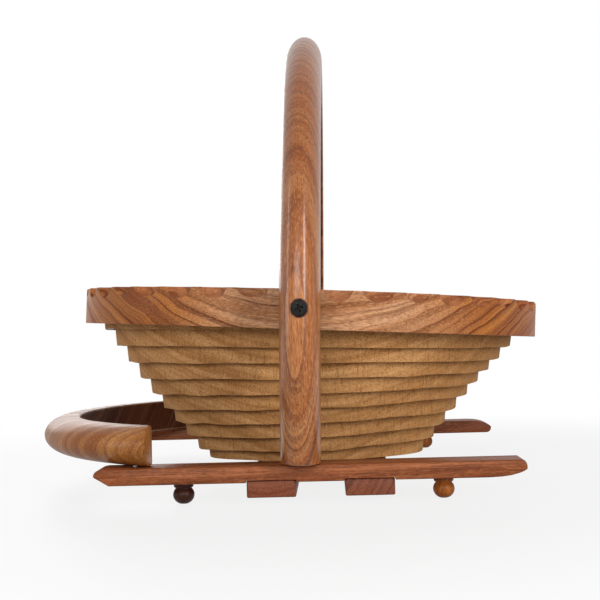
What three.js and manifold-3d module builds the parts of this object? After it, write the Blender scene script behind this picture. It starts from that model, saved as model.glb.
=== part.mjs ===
// A wooden basket sawn from one board. The board's middle is one long spiral cut that has dropped
// into a stepped bowl, held up by the legs of its swinging handle on a low stand with ball feet.
// Millimetres, +Z up, +Y away from the viewer, standing on the floor at Z = 0.
import * as THREE from 'three';
import { mergeVertices } from 'three/addons/utils/BufferGeometryUtils.js';
import Module from 'manifold-3d';

const wasm = await Module();
wasm.setup();
const { degToRad, clamp } = THREE.MathUtils;

// Board, from which the bowl, the handle and the stand's hoop are sawn
const boardThickness = 18.5;
const rimRadius = 124.5;
const basketShift = 2.5;

// Spiral saw cut and the way it has dropped
const rimWidth = 5.2;
const spiralPitch = 6.1;
const spiralTurns = 9;
const spiralStart = degToRad(-43);
const sawBevel = degToRad(7);
const wallGap = 0.4;
const turnDrop = 7.6;
const rimTilt = degToRad(3.3);
const tiltTurns = 5;

// Lobes that the saw cut takes on towards the disc, one of them at the front
const lobeCount = 5;
const lobeReach = 9;
const lobeTurns = 7;

// Scoops along the rim's top edge
const scoopCount = 40;
const scoopWidth = 14;
const scoopDepth = 4.5;
const scoopInset = 3;
const rimEdge = 0.5;

// Hoop that is sawn into the handle and the stand's hoop
const hoopClearance = 9;
const hoopDepth = 19;
const hoopNose = 13;
const hoopEdge = 1.5;
const hoopTrim = 9;
const handleLean = degToRad(1.5);

// Stand
const standShift = 7;
const railLength = 199;
const rearRailExtra = 15;
const rearRailLead = 12;
const railOverhang = 25.3;
const railWidth = 20;
const railThickness = 7.7;
const railLegInset = 0.5;
const shortNose = 7;
const shortRise = 4.2;
const shortRound = 5;
const frontSweep = { length: 18, rise: 3.6, round: 2.6 };
const rearSweep = { length: 14, rise: 4, round: 3.7 };
const slatWidth = 22.8;
const slatThickness = 8;
const slatHousing = 1.2;
const slatSpacing = 45.4;
const slatInset = 2;
const footShares = [0.2035, 0.1884];
const footHeight = 9.8;
const footDiameter = 10;
const footPad = 4;
const ballHeight = 7;
const collarDiameter = 9.2;
const collarHeight = 2.2;
const collarEase = 0.4;
const waistDiameter = 7.6;
const tenonDiameter = 5;
const tenonLength = 4;

// Pivot screws of the handle
const pivotShank = 4.4;
const pivotHead = 7.6;
const pivotHeadHeight = 2;
const pivotBite = 6.5;
const spotDepth = 1.6;
const spacerDiameter = 9;

// Wood screws of the stand, driven from below
const screwShank = 2.8;
const screwHead = 6;
const screwHeadHeight = 1.8;
const screwSink = 2.6;
const railBite = 5;
const deepBite = 12;
const hoopScrewInset = 7;
const discScrewSpacing = 60;

// Clearances
const seatGap = 0.3;
const boreGap = 0.3;
const headGap = 0.5;

// Facets
const stepsPerTurn = 50;
const scoopSteps = 5;
const noseSteps = 8;
const ballSteps = 6;
const handleSteps = 48;
const hoopSteps = 26;
const roundSides = 20;
const footSides = 16;
const screwSides = 8;

// Heights and places worked out from the sizes above
const halfBoard = boardThickness / 2;
const railTop = footHeight + railThickness;
const slatTop = footHeight + slatHousing - seatGap;
const slatBottom = slatTop - slatThickness;
const discBottom = slatTop + seatGap;
const basketDrop = turnDrop * spiralTurns;
const rimTop = discBottom + basketDrop + boardThickness;
const pivotHeight = rimTop - halfBoard;
const hoopInnerRadius = rimRadius + hoopClearance;
const hoopOuterRadius = hoopInnerRadius + hoopDepth;
const legReach = pivotHeight - railTop - seatGap;
const legLength = Math.sqrt(legReach ** 2 - halfBoard ** 2);
const legFoot = Math.sqrt(hoopInnerRadius ** 2 - legLength ** 2);
const railSpacing = 2 * (legFoot - railLegInset);
const hoopCut = legLength + hoopTrim;
const railStart = -hoopCut - railOverhang;
const hoopBottom = railTop + seatGap;
const screwSeat = slatBottom + screwSink;
const sawStartRadius = rimRadius - rimWidth;
const tiltDrop = (rimRadius * Math.tan(rimTilt)) / tiltTurns;
const sawKerf = (turnDrop + tiltDrop) * Math.tan(sawBevel) + wallGap;
const sawLean = boardThickness * Math.tan(sawBevel);

const boardWood = new THREE.MeshStandardMaterial({ color: 0xa9744a, roughness: 0.55, metalness: 0 });
const hoopWood = new THREE.MeshStandardMaterial({ color: 0xa66638, roughness: 0.4, metalness: 0 });
const standWood = new THREE.MeshStandardMaterial({ color: 0x94583a, roughness: 0.5, metalness: 0 });
const footWood = new THREE.MeshStandardMaterial({ color: 0x5c3018, roughness: 0.4, metalness: 0 });
const blackSteel = new THREE.MeshStandardMaterial({ color: 0x1c1c1c, roughness: 0.45, metalness: 0.8 });
const plainSteel = new THREE.MeshStandardMaterial({ color: 0x8a8a88, roughness: 0.4, metalness: 0.9 });

// Turns a shape's faces outwards and leaves only its shared corner points
function closed(geometry) {
  const bare = geometry.clone();
  bare.deleteAttribute('normal');
  bare.deleteAttribute('uv');
  const merged = mergeVertices(bare, 1e-4);
  const corners = merged.getAttribute('position');
  const index = merged.index.array;
  const [a, b, c] = [new THREE.Vector3(), new THREE.Vector3(), new THREE.Vector3()];
  const faces = [];
  let volume = 0;
  for (let i = 0; i < index.length; i += 3) {
    const [p, q, r] = index.slice(i, i + 3);
    if (p !== q && q !== r && r !== p) {
      a.fromBufferAttribute(corners, p);
      b.fromBufferAttribute(corners, q);
      c.fromBufferAttribute(corners, r);
      volume += a.dot(b.cross(c));
      faces.push(p, q, r);
    }
  }
  merged.setIndex(volume < 0 ? faces.reverse() : faces);
  return merged;
}

function toSolid(geometry) {
  const body = closed(geometry);
  const vertProperties = new Float32Array(body.getAttribute('position').array);
  const triVerts = new Uint32Array(body.index.array);
  return new wasm.Manifold(new wasm.Mesh({ numProp: 3, vertProperties, triVerts }));
}

function toGeometry(solid) {
  const { vertProperties, triVerts } = solid.getMesh();
  const geometry = new THREE.BufferGeometry();
  geometry.setAttribute('position', new THREE.BufferAttribute(vertProperties, 3));
  geometry.setIndex(new THREE.BufferAttribute(triVerts, 1));
  return geometry;
}

function cutAway(geometry, tools) {
  return toGeometry(tools.reduce((solid, tool) => solid.subtract(toSolid(tool)), toSolid(geometry)));
}

function joined(geometries) {
  return toGeometry(geometries.map(toSolid).reduce((whole, solid) => whole.add(solid)));
}

// Closed body through rings that have one point for each point of the outline
function loft(rings, outline) {
  const count = outline.length;
  const last = (rings.length - 1) * count;
  const faces = [];
  for (let start = 0; start < last; start += count) {
    for (let j = 0; j < count; j++) {
      const k = (j + 1) % count;
      faces.push(start + j, start + k, start + count + k);
      faces.push(start + j, start + count + k, start + count + j);
    }
  }
  const clockwise = THREE.ShapeUtils.isClockWise(outline);
  for (const cap of THREE.ShapeUtils.triangulateShape(outline, [])) {
    const [a, b, c] = clockwise ? cap.reverse() : cap;
    faces.push(c, b, a);
    faces.push(last + a, last + b, last + c);
  }
  return closed(new THREE.BufferGeometry().setFromPoints(rings.flat()).setIndex(faces));
}

// Round bar along Z, from one height to another
function uprightRod(diameter, low, high, x, y, sides = screwSides) {
  const rod = new THREE.CylinderGeometry(diameter / 2, diameter / 2, high - low, sides);
  return rod.rotateX(Math.PI / 2).translate(x, y, (low + high) / 2);
}

// Round bar along Y, from one place to another
function levelRod(diameter, near, far, z) {
  const rod = new THREE.CylinderGeometry(diameter / 2, diameter / 2, Math.abs(far - near), roundSides);
  return rod.translate(0, (near + far) / 2, z);
}

// Cross-headed screw along Y, with its head above 0 and its shank below
function screwShape(shank, head, headHeight, length, sides) {
  const profile = [
    new THREE.Vector2(0, -length),
    new THREE.Vector2(shank / 2, -length + shank),
    new THREE.Vector2(shank / 2, 0),
    new THREE.Vector2(head / 2, 0),
    new THREE.Vector2(head / 2, headHeight * 0.4),
    new THREE.Vector2(head * 0.42, headHeight * 0.8),
    new THREE.Vector2(head * 0.25, headHeight),
    new THREE.Vector2(0, headHeight),
  ];
  const slotLength = head * 0.58;
  const slotWidth = head * 0.15;
  const slotDepth = headHeight * 0.6;
  const slots = [0, Math.PI / 2].map((turn) =>
    new THREE.BoxGeometry(slotLength, 2 * slotDepth, slotWidth).rotateY(turn).translate(0, headHeight, 0));
  return cutAway(new THREE.LatheGeometry(profile, sides), slots);
}

function turnAngle(turn) {
  return spiralStart - 2 * Math.PI * turn;
}

// Middle of the saw cut on the board's top face, counted in turns from where it starts
function cutRadius(turn) {
  const growth = clamp((turn - spiralTurns + lobeTurns) / lobeTurns, 0, 1);
  const wave = (Math.cos(lobeCount * (turnAngle(turn) + Math.PI / 2)) - 1) / 2;
  const lobe = lobeReach * growth ** 2 * wave;
  return sawStartRadius - spiralPitch * turn + lobe;
}

// Point of the dropped board: the turn gives its direction, and the settled turn how far it has dropped
function boardPoint(radius, depth, turn, settledTurn) {
  const angle = turnAngle(turn);
  const x = radius * Math.cos(angle);
  const slope = Math.tan(rimTilt * clamp(1 - settledTurn / tiltTurns, 0, 1));
  const z = rimTop - depth - turnDrop * clamp(settledTurn, 0, spiralTurns) - x * slope;
  return new THREE.Vector3(x + (halfBoard - depth) * slope, radius * Math.sin(angle), z);
}

function scoopAt(turn) {
  const scoopPitch = (2 * Math.PI * rimRadius) / scoopCount;
  const fraction = (((turn * scoopCount) % 1) + 1) % 1;
  const across = (2 * Math.abs(fraction - 0.5) * scoopPitch) / scoopWidth;
  return across < 1 ? Math.sqrt(1 - across ** 2) : 0;
}

// Rim from one step to another, with the saw cut's spiral as its inner wall
function rimStretch(firstStep, lastStep) {
  const stepCount = scoopCount * scoopSteps;
  const rings = [];
  let outline = [];
  for (let step = firstStep; step <= lastStep; step++) {
    const turn = step / stepCount;
    const inner = cutRadius(turn) + sawKerf / 2;
    const scoop = scoopAt(turn);
    const corners = [
      [inner, 0],
      [inner - sawLean, boardThickness],
      [rimRadius, boardThickness],
      [rimRadius, rimEdge + scoopDepth * scoop],
      [rimRadius - rimEdge - scoopInset * scoop, 0],
    ];
    rings.push(corners.map(([radius, depth]) => boardPoint(radius, depth, turn, 0)));
    outline = corners.map(([radius, depth]) => new THREE.Vector2(radius, -depth));
  }
  return loft(rings, outline);
}

// The long strip between two passes of the saw cut, from the rim down to the disc
function spiralStrip() {
  const rootTurn = 0.01;
  const turns = [-rootTurn];
  for (let step = 0; step <= spiralTurns * stepsPerTurn; step++) {
    turns.push(step / stepsPerTurn);
  }
  turns.push(spiralTurns + rootTurn);
  const cornersAt = (turn) => {
    const outer = cutRadius(turn) - sawKerf / 2;
    const inner = cutRadius(turn + 1) + sawKerf / 2;
    return [
      [inner, 0],
      [inner - sawLean, boardThickness],
      [outer - sawLean, boardThickness],
      [outer, 0],
    ];
  };
  const rings = turns.map((turn) =>
    cornersAt(turn).map(([radius, depth]) => boardPoint(radius, depth, turn, turn)));
  return loft(rings, cornersAt(0).map(([radius, depth]) => new THREE.Vector2(radius, -depth)));
}

function spiralDisc() {
  const ringAt = (depth, lean) => {
    const ring = [];
    for (let step = 0; step <= stepsPerTurn; step++) {
      const turn = spiralTurns + step / stepsPerTurn;
      ring.push(boardPoint(cutRadius(turn) - sawKerf / 2 - lean, depth, turn, spiralTurns));
    }
    return ring;
  };
  const bottom = ringAt(boardThickness, sawLean);
  return loft([bottom, ringAt(0, 0)], bottom.map((point) => new THREE.Vector2(point.x, point.y)));
}

const slatPlaces = [-slatSpacing / 2, slatSpacing / 2];
const discScrewPlaces = [-discScrewSpacing / 2, discScrewSpacing / 2];
const railPlaces = [-railSpacing / 2, railSpacing / 2];
const sideNames = ['left', 'right'];
const endNames = ['front', 'rear'];
const sideSigns = [-1, 1];

function spiralBasket() {
  const halfSteps = (scoopCount * scoopSteps) / 2;
  const board = joined([
    rimStretch(-1, halfSteps + 1),
    rimStretch(halfSteps - 1, 2 * halfSteps + 1),
    spiralStrip(),
    spiralDisc(),
  ]);
  const pivotBore = pivotShank + 2 * boreGap;
  const boreEnd = rimRadius - pivotBite - boreGap;
  const pivotBores = sideSigns.map((side) =>
    levelRod(pivotBore, side * boreEnd, side * (rimRadius + 1), pivotHeight).translate(-basketShift, 0, 0));
  const screwBore = screwShank + 2 * boreGap;
  const standMiddle = standShift - basketShift;
  const discBores = slatPlaces.flatMap((x) => discScrewPlaces.map((y) =>
    uprightRod(screwBore, discBottom - 1, discBottom + deepBite + boreGap, standMiddle + x, y)));
  return cutAway(board, [...pivotBores, ...discBores]);
}

// Section of the hoop: flat inside, straight shoulders and a round nose outside
function hoopOutline() {
  const shoulder = hoopDepth - hoopNose;
  const outline = [
    new THREE.Vector2(0, halfBoard - hoopEdge),
    new THREE.Vector2(0, hoopEdge - halfBoard),
    new THREE.Vector2(hoopEdge, -halfBoard),
  ];
  for (let step = 0; step <= noseSteps; step++) {
    const turn = Math.PI * (step / noseSteps - 0.5);
    outline.push(new THREE.Vector2(shoulder + hoopNose * Math.cos(turn), halfBoard * Math.sin(turn)));
  }
  outline.push(new THREE.Vector2(hoopEdge, halfBoard));
  return outline;
}

// Stretch of the hoop whose ends lie on one plane, at a distance from the hoop's centre
function hoopStretch(planeDistance, steps, place) {
  const outline = hoopOutline();
  const rings = [];
  for (let step = 0; step <= steps; step++) {
    const share = (2 * step) / steps - 1;
    rings.push(outline.map((point) => {
      const radius = hoopInnerRadius + point.x;
      return place(radius, share * Math.acos(planeDistance / radius), point.y);
    }));
  }
  return loft(rings, outline);
}

// Handle around its pivot axis, standing on its two flat leg ends
function handleShape() {
  const place = (radius, angle, across) =>
    new THREE.Vector3(across, radius * Math.sin(angle), radius * Math.cos(angle));
  const spotFace = hoopOuterRadius - spotDepth;
  const holes = sideSigns.flatMap((side) => [
    levelRod(pivotShank + 2 * boreGap, side * (hoopInnerRadius - 1), side * (spotFace + 0.5), 0),
    levelRod(pivotHead + 2 * headGap, side * spotFace, side * (hoopOuterRadius + 1), 0),
  ]);
  return cutAway(hoopStretch(-legLength, handleSteps, place), holes);
}

// Stand's hoop around the stand's centre, lying on the left ends of the rails
function standHoopShape() {
  const place = (radius, angle, across) =>
    new THREE.Vector3(-radius * Math.cos(angle), radius * Math.sin(angle), hoopBottom + halfBoard + across);
  const screwBore = screwShank + 2 * boreGap;
  const bores = railPlaces.map((y) =>
    uprightRod(screwBore, hoopBottom - 1, hoopBottom + deepBite + boreGap, -hoopScrewPlace, y));
  return cutAway(hoopStretch(hoopCut, hoopSteps, place), bores);
}

const hoopScrewPlace = hoopCut + hoopScrewInset;
const hoopScrewSeat = footHeight + screwSink;

// Rail along X, drawn from its own centre: one end is cut back short and the other is swept up long
function railShape(length, slatOffset, sweep, turnedOver) {
  const half = length / 2;
  const side = new THREE.Shape();
  side.moveTo(-half + shortNose, 0);
  side.lineTo(half - sweep.length, 0);
  side.quadraticCurveTo(half - sweep.length / 4, 0, half, sweep.rise);
  side.quadraticCurveTo(half, railThickness, half - sweep.round, railThickness);
  side.lineTo(-half + shortRound, railThickness);
  side.quadraticCurveTo(-half, railThickness, -half, shortRise);
  const bar = new THREE.ExtrudeGeometry(side, { depth: railWidth, bevelEnabled: false, curveSegments: 5 });
  bar.rotateX(Math.PI / 2).translate(0, railWidth / 2, 0);
  if (turnedOver) {
    bar.rotateX(Math.PI).translate(0, 0, railThickness);
  }
  const screwBore = screwShank + 2 * boreGap;
  const headBore = screwHead + 2 * headGap;
  const tenonBore = tenonDiameter + 2 * boreGap;
  const tenonHoles = sideSigns.map((end, i) =>
    uprightRod(tenonBore, -1, tenonLength + boreGap, end * (half - footShares[i] * length), 0, roundSides));
  const housingWidth = slatWidth + 2 * seatGap;
  const housings = slatPlaces.map((x) =>
    new THREE.BoxGeometry(housingWidth, railWidth + 2, 2 * slatHousing).translate(x - slatOffset, 0, 0));
  const slatHoles = slatPlaces.map((x) =>
    uprightRod(screwBore, -1, slatHousing + railBite + boreGap, x - slatOffset, 0));
  const hoopHoles = [
    uprightRod(screwBore, -1, railThickness + 1, -hoopScrewPlace - slatOffset, 0),
    uprightRod(headBore, -1, screwSink, -hoopScrewPlace - slatOffset, 0),
  ];
  return cutAway(bar, [...tenonHoles, ...housings, ...slatHoles, ...hoopHoles]);
}

// Slat along Y under both rails, drawn from its own centre
function slatShape() {
  const length = railSpacing + railWidth - 2 * slatInset;
  const bar = new THREE.BoxGeometry(slatWidth, length, slatThickness).translate(0, 0, slatThickness / 2);
  const holes = [...railPlaces, ...discScrewPlaces].flatMap((y) => [
    uprightRod(screwShank + 2 * boreGap, -1, slatThickness + 1, 0, y),
    uprightRod(screwHead + 2 * headGap, -1, screwSink, 0, y),
  ]);
  return cutAway(bar, holes);
}

// Turned foot on its pad at Z = 0: ball, neck, collar under the rail and tenon in it
function footShape() {
  const collarTop = footHeight - seatGap;
  const collarBottom = collarTop - collarHeight;
  const padAngle = -Math.acos(footPad / footDiameter);
  const waistAngle = Math.acos(waistDiameter / footDiameter);
  const halfBall = ballHeight / (Math.sin(waistAngle) - Math.sin(padAngle));
  const ballMiddle = -halfBall * Math.sin(padAngle);
  const ball = new THREE.EllipseCurve(0, ballMiddle, footDiameter / 2, halfBall, padAngle, waistAngle);
  const profile = [new THREE.Vector2(0, 0), ...ball.getPoints(ballSteps)];
  profile.push(new THREE.Vector2(waistDiameter / 2, collarBottom));
  profile.push(new THREE.Vector2(collarDiameter / 2, collarBottom + collarEase));
  profile.push(new THREE.Vector2(collarDiameter / 2, collarTop));
  profile.push(new THREE.Vector2(tenonDiameter / 2, collarTop));
  profile.push(new THREE.Vector2(tenonDiameter / 2, footHeight + tenonLength));
  profile.push(new THREE.Vector2(0, footHeight + tenonLength));
  return closed(new THREE.LatheGeometry(profile, footSides).rotateX(Math.PI / 2));
}

function spacerShape(length) {
  const inner = pivotShank / 2 + boreGap;
  const outer = spacerDiameter / 2;
  const profile = [
    new THREE.Vector2(inner, 0),
    new THREE.Vector2(outer, 0),
    new THREE.Vector2(outer, length),
    new THREE.Vector2(inner, length),
    new THREE.Vector2(inner, 0),
  ];
  return closed(new THREE.LatheGeometry(profile, roundSides));
}

function piece(name, geometry, material, parent) {
  const mesh = new THREE.Mesh(geometry, material);
  mesh.name = name;
  parent.add(mesh);
  return mesh;
}

const basket = new THREE.Group();
basket.position.x = (hoopOuterRadius - standShift - rimRadius - basketShift) / 2;

piece('spiral_basket', spiralBasket(), boardWood, basket).position.x = basketShift;

const handle = piece('handle', handleShape(), hoopWood, basket);
handle.position.z = pivotHeight;
handle.rotation.y = handleLean;

// Pivot screws run from the handle's spot faces through the spacers into the rim
const pivotSeat = hoopOuterRadius - spotDepth + seatGap;
const pivotLength = pivotSeat - rimRadius + pivotBite;
const spacerLength = hoopInnerRadius - rimRadius - 2 * seatGap;
endNames.forEach((end, i) => {
  const outward = sideSigns[i];
  const pivot = new THREE.Group();
  pivot.position.z = pivotHeight;
  pivot.rotation.z = outward < 0 ? Math.PI : 0;
  basket.add(pivot);
  const screw = screwShape(pivotShank, pivotHead, pivotHeadHeight, pivotLength, roundSides);
  piece(`pivot_screw_${end}`, screw, blackSteel, pivot).position.y = pivotSeat;
  const spacer = piece(`pivot_spacer_${end}`, spacerShape(spacerLength), blackSteel, pivot);
  spacer.position.y = rimRadius + seatGap;
});

const stand = new THREE.Group();
stand.position.x = standShift;
basket.add(stand);

piece('stand_hoop', standHoopShape(), hoopWood, stand);

endNames.forEach((end, i) => {
  const lead = end === 'rear' ? rearRailLead : 0;
  const length = end === 'rear' ? railLength + rearRailExtra + lead : railLength;
  const offset = railStart - lead + length / 2;
  const sweep = end === 'rear' ? rearSweep : frontSweep;
  const rail = piece(`${end}_rail`, railShape(length, offset, sweep, end === 'rear'), standWood, stand);
  rail.position.set(offset, railPlaces[i], footHeight);
  sideNames.forEach((name, j) => {
    const foot = piece(`foot_${end}_${name}`, footShape(), footWood, stand);
    foot.position.set(offset + sideSigns[j] * (0.5 - footShares[j]) * length, railPlaces[i], 0);
  });
});

function standScrew(name, bite, x, y, seat) {
  const grip = slatThickness - screwSink + seatGap;
  const shape = screwShape(screwShank, screwHead, screwHeadHeight, grip + bite, screwSides);
  const screw = piece(name, shape, plainSteel, stand);
  screw.position.set(x, y, seat - seatGap);
  screw.rotation.x = -Math.PI / 2;
}

sideNames.forEach((name, i) => {
  const slat = piece(`${name}_slat`, slatShape(), standWood, stand);
  slat.position.set(slatPlaces[i], 0, slatBottom);
  endNames.forEach((end, j) => {
    standScrew(`rail_screw_${end}_${name}`, railBite, slatPlaces[i], railPlaces[j], screwSeat);
    standScrew(`disc_screw_${end}_${name}`, deepBite, slatPlaces[i], discScrewPlaces[j], screwSeat);
  });
});

endNames.forEach((end, j) => {
  standScrew(`hoop_screw_${end}`, deepBite, -hoopScrewPlace, railPlaces[j], hoopScrewSeat);
});

export default basket;
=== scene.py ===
import math

import bmesh
import bpy
from mathutils import Matrix, Vector, noise


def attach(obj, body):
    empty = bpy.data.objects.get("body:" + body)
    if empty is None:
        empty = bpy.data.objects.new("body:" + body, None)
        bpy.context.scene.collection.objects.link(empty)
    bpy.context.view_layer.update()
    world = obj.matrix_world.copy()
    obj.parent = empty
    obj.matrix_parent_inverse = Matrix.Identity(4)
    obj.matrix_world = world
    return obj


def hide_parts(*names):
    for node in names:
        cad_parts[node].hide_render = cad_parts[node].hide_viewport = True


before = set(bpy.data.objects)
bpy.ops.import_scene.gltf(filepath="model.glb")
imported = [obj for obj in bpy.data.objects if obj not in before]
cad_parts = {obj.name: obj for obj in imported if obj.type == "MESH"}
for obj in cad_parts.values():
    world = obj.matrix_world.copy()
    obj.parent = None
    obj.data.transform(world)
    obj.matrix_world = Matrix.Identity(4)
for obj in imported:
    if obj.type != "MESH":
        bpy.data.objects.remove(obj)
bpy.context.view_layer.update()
mm = 0.001

# where the basket hangs and the stand lies, in mm
layout = dict(axisX=9.25, basketX=11.75, standX=16.25, footHeight=9.8, railTop=17.5,
              slatBottom=2.7, discBottom=11.0, seatGap=0.3)
slatPlaces = (-22.7, 22.7)
discScrewPlaces = (-30.0, 30.0)
railPlaces = (-113.03, 113.03)


def tone(red, green, blue):
    def straight(value):
        value /= 255
        return value / 12.92 if value <= 0.04045 else ((value + 0.055) / 1.055) ** 2.4
    return (straight(red), straight(green), straight(blue), 1.0)


def deselectAll():
    if bpy.context.object and bpy.context.object.mode != "OBJECT":
        bpy.ops.object.mode_set(mode="OBJECT")
    bpy.ops.object.select_all(action="DESELECT")


def makeActive(piece):
    deselectAll()
    piece.select_set(True)
    bpy.context.view_layer.objects.active = piece


def startEdit(piece, kind="VERT"):
    makeActive(piece)
    bpy.ops.object.mode_set(mode="EDIT")
    bpy.ops.mesh.select_mode(type=kind)
    bpy.ops.mesh.select_all(action="DESELECT")


def endEdit():
    bpy.ops.object.mode_set(mode="OBJECT")


# turns all faces outward, then leaves edit mode
def faceOut():
    bpy.ops.mesh.select_all(action="SELECT")
    bpy.ops.mesh.normals_make_consistent(inside=False)
    endEdit()


def extrudeUp(height):
    bpy.ops.mesh.extrude_region_move(TRANSFORM_OT_translate={"value": (0, 0, height * mm)})


# picks verts, edges or faces by a test on each
def pick(piece, kind, test):
    bpy.ops.mesh.select_mode(type=kind)
    bpy.ops.mesh.select_all(action="DESELECT")
    cage = bmesh.from_edit_mesh(piece.data)
    cage.normal_update()
    parts = {"VERT": cage.verts, "EDGE": cage.edges, "FACE": cage.faces}[kind]
    for part in parts:
        if test(part):
            part.select_set(True)
    bmesh.update_edit_mesh(piece.data)


def edgeMiddle(edge):
    return (edge.verts[0].co + edge.verts[1].co) / 2


# sharp edges between faces that meet at more than an angle
def sharpEdge(edge, degrees=40):
    return len(edge.link_faces) == 2 and edge.calc_face_angle(0) > math.radians(degrees)


def applyPlace(piece):
    makeActive(piece)
    bpy.ops.object.transform_apply(location=True, rotation=True, scale=True)


def copyOf(piece, name):
    twin = piece.copy()
    twin.data = piece.data.copy()
    twin.name = name
    bpy.context.scene.collection.objects.link(twin)
    return twin


def drop(piece):
    bpy.data.objects.remove(piece, do_unlink=True)


def rodCutter(radius, start, end, sides=32):
    start, end = Vector(start) * mm, Vector(end) * mm
    along = end - start
    deselectAll()
    bpy.ops.mesh.primitive_cylinder_add(vertices=sides, radius=radius * mm, depth=along.length,
                                        location=(start + end) / 2,
                                        rotation=along.to_track_quat("Z", "Y").to_euler())
    cutter = bpy.context.object
    applyPlace(cutter)
    return cutter


# radii and depths of the bores for screw shanks, their heads and the feet's tenons
bores = dict(shank=1.7, shankSides=16, over=1.0, deep=12.3, through=9.0, slatBite=5.3,
             head=3.5, sink=2.6, tenon=2.8, tenonDeep=4.3)


def boreUp(radius, x, y, low, depth, sides=32):
    return rodCutter(radius, (x, y, low - bores["over"]), (x, y, low + depth), sides)


def shankBore(x, y, low, depth):
    return boreUp(bores["shank"], x, y, low, depth, bores["shankSides"])


def headBore(x, y, low):
    return boreUp(bores["head"], x, y, low, bores["sink"])


def cutAway(piece, cutters):
    for cutter in cutters:
        makeActive(piece)
        hole = piece.modifiers.new("hole", "BOOLEAN")
        hole.operation = "DIFFERENCE"
        hole.solver = "EXACT"
        hole.object = cutter
        bpy.ops.object.modifier_apply(modifier=hole.name)
        drop(cutter)


def finishPiece(piece, name, body, nodes, angle=35):
    piece.name = name
    piece.data.name = name
    makeActive(piece)
    bpy.ops.object.shade_smooth_by_angle(angle=math.radians(angle))
    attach(piece, body)
    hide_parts(*nodes)


class NodeDesk:
    def __init__(self, name):
        self.material = bpy.data.materials.new(name)
        self.material.use_nodes = True
        self.tree = self.material.node_tree
        self.shader = self.tree.nodes["Principled BSDF"]

    def add(self, kind, **settings):
        node = self.tree.nodes.new(kind)
        for key, value in settings.items():
            setattr(node, key, value)
        return node

    def plug(self, value, socket):
        if isinstance(value, bpy.types.NodeSocket):
            self.tree.links.new(value, socket)
        else:
            socket.default_value = value

    def sums(self, operation, first, second=0.0):
        node = self.add("ShaderNodeMath", operation=operation)
        self.plug(first, node.inputs[0])
        self.plug(second, node.inputs[1])
        return node.outputs[0]

    def vectors(self, operation, first, second=(0, 0, 0)):
        node = self.add("ShaderNodeVectorMath", operation=operation)
        self.plug(first, node.inputs[0])
        self.plug(second, node.inputs[1])
        return node.outputs["Value"] if operation == "LENGTH" else node.outputs["Vector"]

    def grain(self, vector, stretch, detail=3.0, roughness=0.55, colour=False):
        node = self.add("ShaderNodeTexNoise")
        self.plug(self.vectors("MULTIPLY", vector, stretch), node.inputs["Vector"])
        node.inputs["Scale"].default_value = 1.0
        node.inputs["Detail"].default_value = detail
        node.inputs["Roughness"].default_value = roughness
        return node.outputs["Color"] if colour else node.outputs["Fac"]

    def between(self, value, low, high, toLow=0.0, toHigh=1.0):
        node = self.add("ShaderNodeMapRange", interpolation_type="SMOOTHSTEP")
        self.plug(value, node.inputs["Value"])
        node.inputs["From Min"].default_value = low
        node.inputs["From Max"].default_value = high
        node.inputs["To Min"].default_value = toLow
        node.inputs["To Max"].default_value = toHigh
        return node.outputs["Result"]

    def ramp(self, value, stops):
        node = self.add("ShaderNodeValToRGB")
        self.plug(value, node.inputs["Fac"])
        points = node.color_ramp.elements
        while len(points) < len(stops):
            points.new(0.5)
        for point, (place, colour) in zip(points, stops):
            point.position = place
            point.color = colour
        return node.outputs["Color"]

    def mix(self, share, first, second, blend="MIX"):
        node = self.add("ShaderNodeMix", data_type="RGBA", blend_type=blend)
        self.plug(share, node.inputs[0])
        self.plug(first, node.inputs[6])
        self.plug(second, node.inputs[7])
        return node.outputs[2]

    def place(self, attribute, centre, turn):
        if attribute:
            source = self.add("ShaderNodeAttribute", attribute_name=attribute).outputs["Vector"]
        else:
            source = self.add("ShaderNodeTexCoord").outputs["Object"]
        shifted = self.vectors("SUBTRACT", source, [c * mm for c in centre])
        mapping = self.add("ShaderNodeMapping")
        self.plug(shifted, mapping.inputs["Vector"])
        mapping.inputs["Rotation"].default_value = [math.radians(t) for t in turn]
        return mapping.outputs["Vector"]

    def bump(self, height, strength, reach):
        node = self.add("ShaderNodeBump")
        node.inputs["Strength"].default_value = strength
        node.inputs["Distance"].default_value = reach * mm
        self.plug(height, node.inputs["Height"])
        self.plug(node.outputs["Normal"], self.shader.inputs["Normal"])


# growth rings round a pith that runs along the turned X axis
def ringPattern(desk, spot, look):
    wobble = desk.vectors("SUBTRACT", desk.grain(spot, (9, 45, 45), 2.0, 0.5, colour=True), (0.5, 0.5, 0.5))
    wobble = desk.vectors("MULTIPLY", wobble, (0, look["wobble"] * mm, look["wobble"] * mm))
    bent = desk.vectors("ADD", spot, wobble)
    across = desk.vectors("LENGTH", desk.vectors("MULTIPLY", bent, (0, 1, 1)))
    rings = desk.sums("DIVIDE", across, look["ring"] * mm)
    split = desk.add("ShaderNodeSeparateXYZ")
    desk.plug(bent, split.inputs[0])
    along = desk.sums("MULTIPLY", split.outputs[0], look["run"])
    joined = desk.add("ShaderNodeCombineXYZ")
    desk.plug(along, joined.inputs[0])
    desk.plug(rings, joined.inputs[1])
    bands = desk.grain(joined.outputs[0], (1, 0.85, 1), 4.0, 0.6)
    step = desk.sums("FRACT", desk.sums("ADD", rings, desk.sums("MULTIPLY", bands, 0.6)))
    late = desk.sums("MULTIPLY", desk.between(step, 0.35, 0.93), desk.between(step, 0.93, 1.0, 1.0, 0.0))
    streaks = desk.grain(joined.outputs[0], (1.7, 2.6, 1), 3.0, 0.65)
    return bands, late, streaks


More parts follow.
